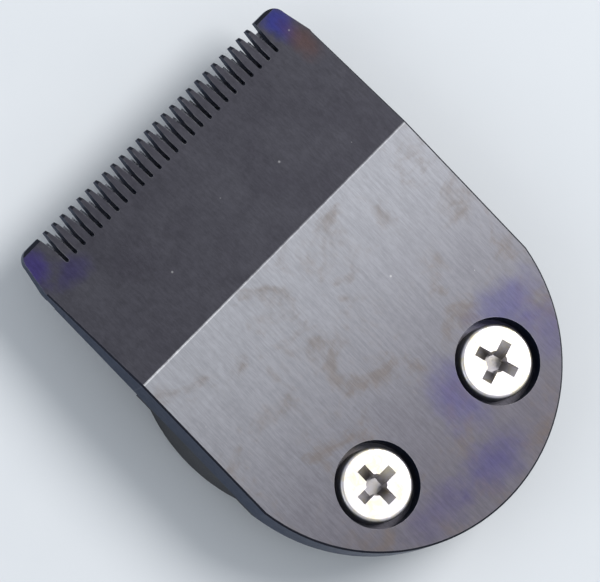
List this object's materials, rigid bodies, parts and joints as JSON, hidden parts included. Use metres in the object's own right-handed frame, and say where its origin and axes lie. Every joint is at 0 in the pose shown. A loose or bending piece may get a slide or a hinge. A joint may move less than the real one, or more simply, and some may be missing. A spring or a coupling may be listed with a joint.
{
  "type": "clipper blade",
  "caption": "Clip-on trimmer blade head: D-shaped steel fixed blade with a toothed wedge front, sliding cutter, wire spring and screws on a round plastic base.",
  "frame": {"origin": "centre of the round base, on the flat face that it seats and rests on", "axes": "+Z out of the outer steel face, +Y towards the teeth, +X along the row of teeth; the cutter slides along X"},
  "size_m": [0.032, 0.0427, 0.0085],
  "materials": {
    "dark_steel": "ground steel, blackened and heat-tinted, satin and worn",
    "cutter_steel": "bare ground steel",
    "guide_plastic": "natural acetal, slightly glossy",
    "yoke_plastic": "moulded, satin",
    "spring_wire": "drawn wire, bright",
    "base_plastic": "moulded, fine matte grain",
    "screw_nickel": "nickel plate, satin, lightly worn",
    "insert_brass": "turned brass"
  },
  "bodies": {
    "head": {"fixed_blade": "dark_steel", "guide_strip": "guide_plastic", "tension_spring": "spring_wire", "base": "base_plastic", "screw_left": "screw_nickel", "screw_right": "screw_nickel", "insert_left": "insert_brass", "insert_right": "insert_brass"},
    "cutter": {"moving_blade": "cutter_steel", "drive_yoke": "yoke_plastic"}
  },
  "joints": [
    {"name": "cutter_slide", "type": "slide", "parent": "head", "child": "cutter", "axis": [1, 0, 0], "range_m": [-0.0008, 0.0008]}
  ]
}
